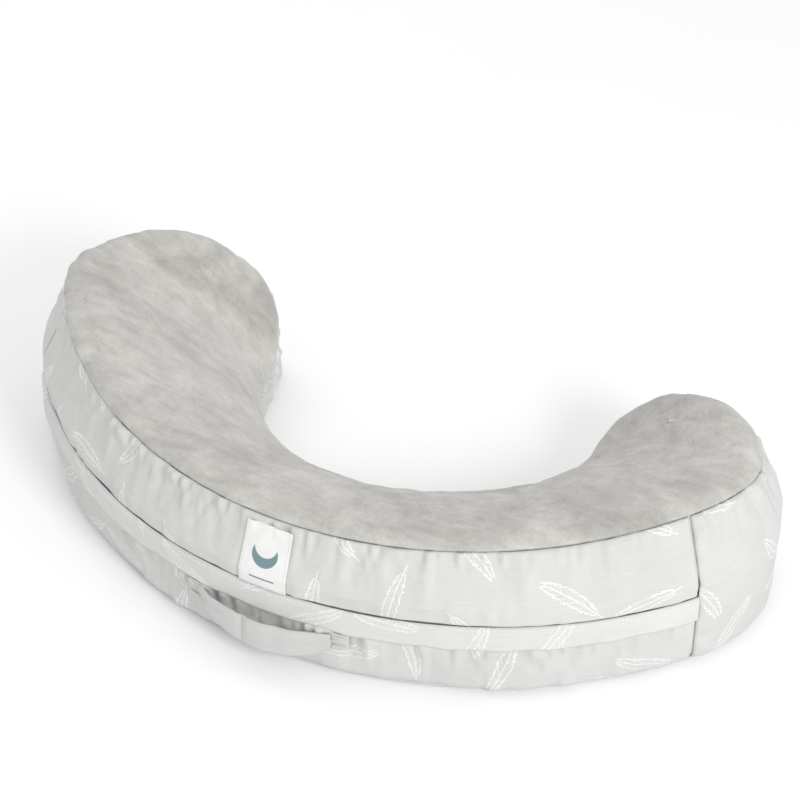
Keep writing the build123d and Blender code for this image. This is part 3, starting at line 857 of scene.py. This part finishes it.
def thread_material():
    made, tree, shader = blank("thread_twist")
    where = node(tree, "TexCoord").outputs["Object"]
    twist = node(tree, "TexWave", {"Vector": where, "Scale": 900.0, "Distortion": 2.0}).outputs["Fac"]
    colour = ramp(tree, twist, 0.2, 0.8, (0.62, 0.62, 0.61), (0.80, 0.80, 0.79))
    dress(tree, shader, colour, 0.6, twist, 0.00005, 0.3)
    return made


# The flap's cloth is the same print made 7% brighter: a painted highlight on the raised fold.
print_cloth, band_cloth = printed("feather_print"), printed("flap_print_painted_highlight", True, 1.07, 0.0195)
# The strap's cloth is the same print made 3% darker: painted shade.
strap_cloth = printed("strap_print_painted_shade", False, 0.97)
plain = woven("plain_cotton", (0.60, 0.60, 0.60), (0.72, 0.72, 0.71), 0.0006, 0.00012, 0.1, "Object")
liner_cloth = woven("liner_knit", (0.72, 0.72, 0.70), (0.84, 0.84, 0.82), 0.0009, 0.0002, 0.1, "Object")
tape_cloth = woven("tape_weave", (0.66, 0.66, 0.65), (0.76, 0.76, 0.75), 0.0008, 0.00015)
care_cloth = woven("care_weave", (0.80, 0.80, 0.79), (0.90, 0.90, 0.89), 0.0004, 0.00006)
metal = hard("painted_metal", (0.55, 0.55, 0.54), (0.68, 0.68, 0.67), 0.3, 0.25)
plastic = hard("coil_plastic", (0.70, 0.70, 0.69), (0.80, 0.80, 0.79), 0.0, 0.3)
thread = thread_material()

cover = "cover_and_core"
looks = [
    (top_panel, plush(), cover, ["top_panel"], "plush"),
    (front_panel, print_cloth, cover, ["front_panel"], "printed_cotton"),
    (lower_band, print_cloth, cover, ["lower_band"], "printed_cotton"),
    (wing_panel, print_cloth, cover, ["wing_panel"], "printed_cotton"),
    (bottom_panel, plain, cover, ["bottom_panel"], "plain_cotton"),
    (core_liner, liner_cloth, cover, ["core_liner"], "liner_fabric"),
    (foam_core, foam_material(), cover, ["foam_core"], "foam"),
    (zipper_flap, band_cloth, "zipper_flap", ["zipper_flap"], "printed_cotton"),
    (tape_upper, tape_cloth, cover, ["zipper_tape_upper"], "zipper_tape"),
    (tape_lower, tape_cloth, cover, ["zipper_tape_lower"], "zipper_tape"),
    (coils["coil_upper"], plastic, cover, ["zipper_coil_upper"], "zipper_coil"),
    (coils["coil_lower"], plastic, cover, ["zipper_coil_lower"], "zipper_coil"),
    (strap_left, strap_cloth, None, ["carry_handle"], "printed_cotton"),
    (strap_right, strap_cloth, None, [], "printed_cotton"),
    (tab_left, strap_cloth, cover, ["handle_tabs"], "printed_cotton"),
    (tab_right, strap_cloth, cover, [], "printed_cotton"),
    (bartacks, thread, cover, ["handle_bartacks"], "thread"),
    (label, label_material(), cover, ["front_label"], "label"),
    (label_thread, thread, cover, [], "thread"),
    (care, care_cloth, cover, ["care_label"], "label"),
]
for piece, material, body, nodes, finish in looks:
    piece.data.materials.append(material)
    if body:
        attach(piece, body)
    if nodes:
        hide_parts(*nodes)
for name in ("zipper_slider", "zipper_pull", "zipper_end_stops"):
    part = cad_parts[name]
    part.data.materials.clear()
    part.data.materials.append(metal)
    soft_edge = part.modifiers.new("soft_edge", "BEVEL")
    soft_edge.width, soft_edge.segments = 0.00015, 2

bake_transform(strap_left)
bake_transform(strap_right)
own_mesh(zipper_flap)


# ---- floor, light and camera --------------------------------------------------------------
bpy.ops.mesh.primitive_plane_add(size=6, location=(0, 0, -0.0003))
floor = bpy.context.object
floor.name = "floor"
paper, tree, shader = blank("paper")
where = node(tree, "TexCoord").outputs["Object"]
tone = speckle(tree, where, 3.0)
dress(tree, shader, ramp(tree, tone, 0.2, 0.8, (0.95, 0.95, 0.95), (0.97, 0.97, 0.97)), 0.9, tone, 0.0001)
floor.data.materials.append(paper)

world = bpy.data.worlds.new("studio")
bpy.context.scene.world = world
world.use_nodes = True
world.node_tree.nodes["Background"].inputs["Color"].default_value = (1.0, 1.0, 1.0, 1)
world.node_tree.nodes["Background"].inputs["Strength"].default_value = 0.82


def softbox(name, place, size, power):
    made = bpy.data.lights.new(name, "AREA")
    made.shape, made.size, made.energy = "DISK", size, power
    lamp = bpy.data.objects.new(name, made)
    bpy.context.scene.collection.objects.link(lamp)
    lamp.location = place
    lamp.rotation_euler = (Vector((0, 0, 0.05)) - Vector(place)).to_track_quat("-Z", "Y").to_euler()


softbox("key", (1.5, -0.9, 1.2), 0.7, 18)
softbox("fill", (-1.2, 0.6, 1.6), 1.2, 5)

AZIMUTH, ELEVATION, DISTANCE = math.radians(27.72), math.radians(39.47), 1.994
look_at = Vector((-0.0503, ARC_Y - 0.0539, 0))
flat_part = math.cos(ELEVATION)
back = Vector((math.sin(AZIMUTH) * flat_part, -math.cos(AZIMUTH) * flat_part, math.sin(ELEVATION)))
camera_data = bpy.data.cameras.new("camera")
camera_data.lens, camera_data.sensor_width = 107.0, 36
camera = bpy.data.objects.new("camera", camera_data)
bpy.context.scene.collection.objects.link(camera)
camera.location = look_at + back * DISTANCE
camera.rotation_euler = (-back).to_track_quat("-Z", "Y").to_euler()
bpy.context.scene.camera = camera
bpy.context.scene.view_settings.view_transform = "Standard"
